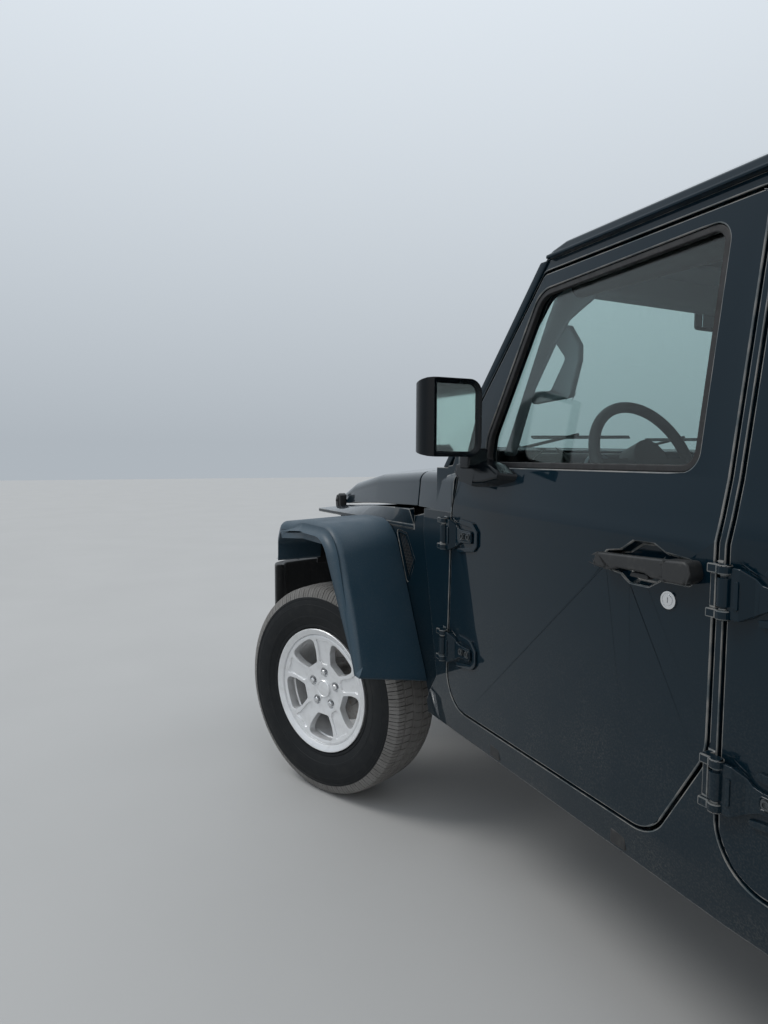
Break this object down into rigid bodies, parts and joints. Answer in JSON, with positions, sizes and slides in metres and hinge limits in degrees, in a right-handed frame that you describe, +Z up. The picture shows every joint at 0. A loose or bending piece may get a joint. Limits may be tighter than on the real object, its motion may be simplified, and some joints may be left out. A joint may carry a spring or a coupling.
{
  "type": "four-door off-road vehicle",
  "caption": "Body-on-frame off-road vehicle with swing doors, hard top, flat front flares and a rear gate that carries the spare wheel.",
  "frame": {"origin": "on the ground, in the middle of the vehicle's length and width", "axes": "+X forward, +Y to the left, +Z up"},
  "size_m": [4.785, 2.0625, 1.865],
  "materials": {
    "body_paint": "gloss",
    "window_glass": "clear",
    "flare_plastic": "fine grain",
    "black_plastic": "satin",
    "lamp_lens": "clear",
    "chassis_steel": "satin",
    "underbody_paint": "satin",
    "exhaust_steel": "dull",
    "cast_iron": "rough",
    "radiator_alloy": "matt",
    "wheel_alloy": "painted silver",
    "tyre_rubber": "matt",
    "seat_cloth": "woven",
    "cabin_plastic": "grained"
  },
  "bodies": {
    "root": {"body_sides": "body_paint", "cowl": "body_paint", "radiator": "radiator_alloy", "windscreen_frame": "body_paint", "windscreen_glass": "window_glass", "roof_panels": "body_paint", "hardtop": "body_paint", "hardtop_glass": "window_glass", "front_fenders": "body_paint", "fender_flares": "flare_plastic", "wheel_liners": "black_plastic", "front_bumper": "black_plastic", "rear_bumper": "black_plastic", "grille": "body_paint", "lamps": "lamp_lens", "frame": "chassis_steel", "floor_pan": "underbody_paint", "engine": "cast_iron", "front_axle": "chassis_steel", "rear_axle": "chassis_steel", "coil_springs": "chassis_steel", "dampers": "chassis_steel", "link_arms": "chassis_steel", "drive_shafts": "chassis_steel", "fuel_tank": "chassis_steel", "exhaust": "exhaust_steel", "front_seats": "seat_cloth", "rear_seat": "seat_cloth", "dashboard": "cabin_plastic", "console": "cabin_plastic", "sport_bar": "cabin_plastic"},
    "hood": {"hood": "body_paint"},
    "swing_gate": {"swing_gate": "body_paint", "spare_rim": "wheel_alloy", "spare_tyre": "tyre_rubber"},
    "steering_wheel": {"steering_wheel": "cabin_plastic"},
    "tie_rod": {"tie_rod": "chassis_steel"},
    "door_front_left": {"door_front_left": "body_paint", "glass_front_left": "window_glass", "mirror_left": "black_plastic"},
    "door_rear_left": {"door_rear_left": "body_paint", "glass_rear_left": "window_glass"},
    "knuckle_left": {"knuckle_left": "cast_iron"},
    "wheel_front_left": {"rim_front_left": "wheel_alloy", "tyre_front_left": "tyre_rubber"},
    "wheel_rear_left": {"rim_rear_left": "wheel_alloy", "tyre_rear_left": "tyre_rubber"},
    "door_front_right": {"door_front_right": "body_paint", "glass_front_right": "window_glass", "mirror_right": "black_plastic"},
    "door_rear_right": {"door_rear_right": "body_paint", "glass_rear_right": "window_glass"},
    "knuckle_right": {"knuckle_right": "cast_iron"},
    "wheel_front_right": {"rim_front_right": "wheel_alloy", "tyre_front_right": "tyre_rubber"},
    "wheel_rear_right": {"rim_rear_right": "wheel_alloy", "tyre_rear_right": "tyre_rubber"}
  },
  "joints": [
    {"name": "door_front_left_hinge", "type": "hinge", "parent": "root", "child": "door_front_left", "pos_m": [0.9275, 0.7383, 0.9], "axis": [0, 0, -1], "range_deg": [0, 70]},
    {"name": "door_front_right_hinge", "type": "hinge", "parent": "root", "child": "door_front_right", "pos_m": [0.9275, -0.7383, 0.9], "axis": [0, 0, 1], "range_deg": [0, 70]},
    {"name": "door_rear_left_hinge", "type": "hinge", "parent": "root", "child": "door_rear_left", "pos_m": [-0.0685, 0.79945, 0.9], "axis": [0, 0, -1], "range_deg": [0, 70]},
    {"name": "door_rear_right_hinge", "type": "hinge", "parent": "root", "child": "door_rear_right", "pos_m": [-0.0685, -0.79945, 0.9], "axis": [0, 0, 1], "range_deg": [0, 70]},
    {"name": "gate_hinge", "type": "hinge", "parent": "root", "child": "swing_gate", "pos_m": [-2.1055, -0.6, 0.935], "axis": [0, 0, 1], "range_deg": [0, 85]},
    {"name": "hood_hinge", "type": "hinge", "parent": "root", "child": "hood", "pos_m": [1.2115, 0, 1.288], "axis": [0, -1, 0], "range_deg": [0, 55]},
    {"name": "steer_left", "type": "hinge", "parent": "root", "child": "knuckle_left", "pos_m": [1.6575, 0.6685, 0.3995], "axis": [0, 0, 1], "range_deg": [-56, 12]},
    {"name": "spin_front_left", "type": "hinge", "parent": "knuckle_left", "child": "wheel_front_left", "pos_m": [1.60861, 0.7895, 0.3995], "axis": [-0.3746, 0.9272, 0], "continuous": true},
    {"name": "spin_rear_left", "type": "hinge", "parent": "root", "child": "wheel_rear_left", "pos_m": [-1.3505, 0.799, 0.3995], "axis": [0, 1, 0], "continuous": true},
    {"name": "steer_right", "type": "hinge", "parent": "root", "child": "knuckle_right", "pos_m": [1.6575, -0.6685, 0.3995], "axis": [0, 0, 1], "range_deg": [-56, 12]},
    {"name": "spin_front_right", "type": "hinge", "parent": "knuckle_right", "child": "wheel_front_right", "pos_m": [1.70639, -0.7895, 0.3995], "axis": [-0.3746, 0.9272, 0], "continuous": true},
    {"name": "spin_rear_right", "type": "hinge", "parent": "root", "child": "wheel_rear_right", "pos_m": [-1.3505, -0.799, 0.3995], "axis": [0, 1, 0], "continuous": true},
    {"name": "tie_rod_end", "type": "hinge", "parent": "knuckle_left", "child": "tie_rod", "pos_m": [1.79658, 0.72469, 0.3735], "axis": [0, 0, 1], "range_deg": [-12, 56]},
    {"name": "steering_wheel_turn", "type": "hinge", "parent": "root", "child": "steering_wheel", "pos_m": [0.5075, 0.362, 1.268], "axis": [-0.9135, 0, 0.4067], "range_deg": [-952, 204]}
  ],
  "couplings": [
    {"joint": "steer_right", "follows": "steer_left", "ratio": 1},
    {"joint": "tie_rod_end", "follows": "steer_left", "ratio": -1},
    {"joint": "steering_wheel_turn", "follows": "steer_left", "ratio": 17}
  ]
}
